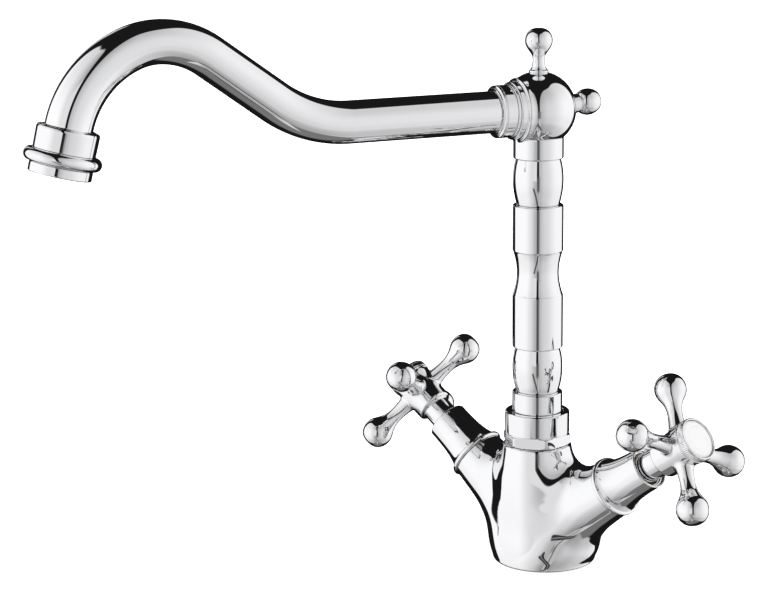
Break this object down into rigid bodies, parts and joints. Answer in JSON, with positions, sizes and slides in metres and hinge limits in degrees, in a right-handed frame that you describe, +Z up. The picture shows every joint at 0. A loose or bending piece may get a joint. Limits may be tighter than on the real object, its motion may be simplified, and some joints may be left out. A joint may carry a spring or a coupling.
{
  "type": "kitchen mixer tap",
  "caption": "Deck-mounted chrome kitchen mixer tap with slanted cross-handle valves, a turned column with ball head and finial, and a swivelling swan-curved spout with aerator.",
  "frame": {"origin": "centre of the foot, on the flat underside that sits on the sink or worktop", "axes": "+Z up, parallel to the column, whose axis stands 6 mm in front of the origin; +X towards the right-hand (cold) valve, -Y the front of the tap; the spout is stored swung to the front left, 114.5 degrees clockwise from +X seen from above"},
  "size_m": [0.2236, 0.2758, 0.2823],
  "materials": {
    "chrome": "polished chrome plate on brass",
    "brass": "turned",
    "steel": "stainless, as machined",
    "rubber": "moulded",
    "white_plastic": "moulded",
    "grey_plastic": "moulded mesh",
    "ceramic": null,
    "porcelain": null
  },
  "bodies": {
    "body": {"body_casting": "chrome", "base_gasket": "rubber", "column_nut": "chrome", "swivel_washer": "white_plastic", "right_bell_shroud": "chrome", "right_headwork": "brass", "right_headwork_oring": "rubber", "right_seat_seal": "rubber", "right_fixed_disc": "ceramic", "left_bell_shroud": "chrome", "left_headwork": "brass", "left_headwork_oring": "rubber", "left_seat_seal": "rubber", "left_fixed_disc": "ceramic"},
    "spout": {"column_tail": "brass", "spigot_orings": "rubber", "riser_tube": "brass", "foot_ring": "chrome", "lower_barrel": "chrome", "waisted_sleeve": "chrome", "upper_barrel": "chrome", "top_ring": "chrome", "ball_head": "chrome", "finial": "chrome", "rear_knob": "chrome", "spout_groove_ring": "chrome", "spout_coupling": "chrome", "spout_oring": "rubber", "spout_tube": "chrome", "nozzle_collar": "chrome", "nozzle_ring": "chrome", "aerator_washer": "rubber", "aerator_housing": "chrome", "aerator_insert": "grey_plastic"},
    "right_handle": {"right_spindle": "brass", "right_spindle_oring": "rubber", "right_moving_disc": "ceramic", "right_cross_handle": "chrome", "right_grub_screw": "steel", "right_handle_screw": "steel", "right_index_rim": "chrome", "right_index_disc": "porcelain"},
    "left_handle": {"left_spindle": "brass", "left_spindle_oring": "rubber", "left_moving_disc": "ceramic", "left_cross_handle": "chrome", "left_grub_screw": "steel", "left_handle_screw": "steel", "left_index_rim": "chrome", "left_index_disc": "porcelain"}
  },
  "joints": [
    {"name": "spout_swivel", "type": "hinge", "parent": "body", "child": "spout", "pos_m": [0, -0.006, 0.07], "axis": [0, 0, 1], "continuous": true},
    {"name": "right_handle_turn", "type": "hinge", "parent": "body", "child": "right_handle", "pos_m": [0, 0, 0.01505], "axis": [0.8202, 0, 0.5721], "range_deg": [-90, 0]},
    {"name": "left_handle_turn", "type": "hinge", "parent": "body", "child": "left_handle", "pos_m": [0, 0, 0.01505], "axis": [-0.8202, 0, 0.5721], "range_deg": [0, 90]}
  ]
}
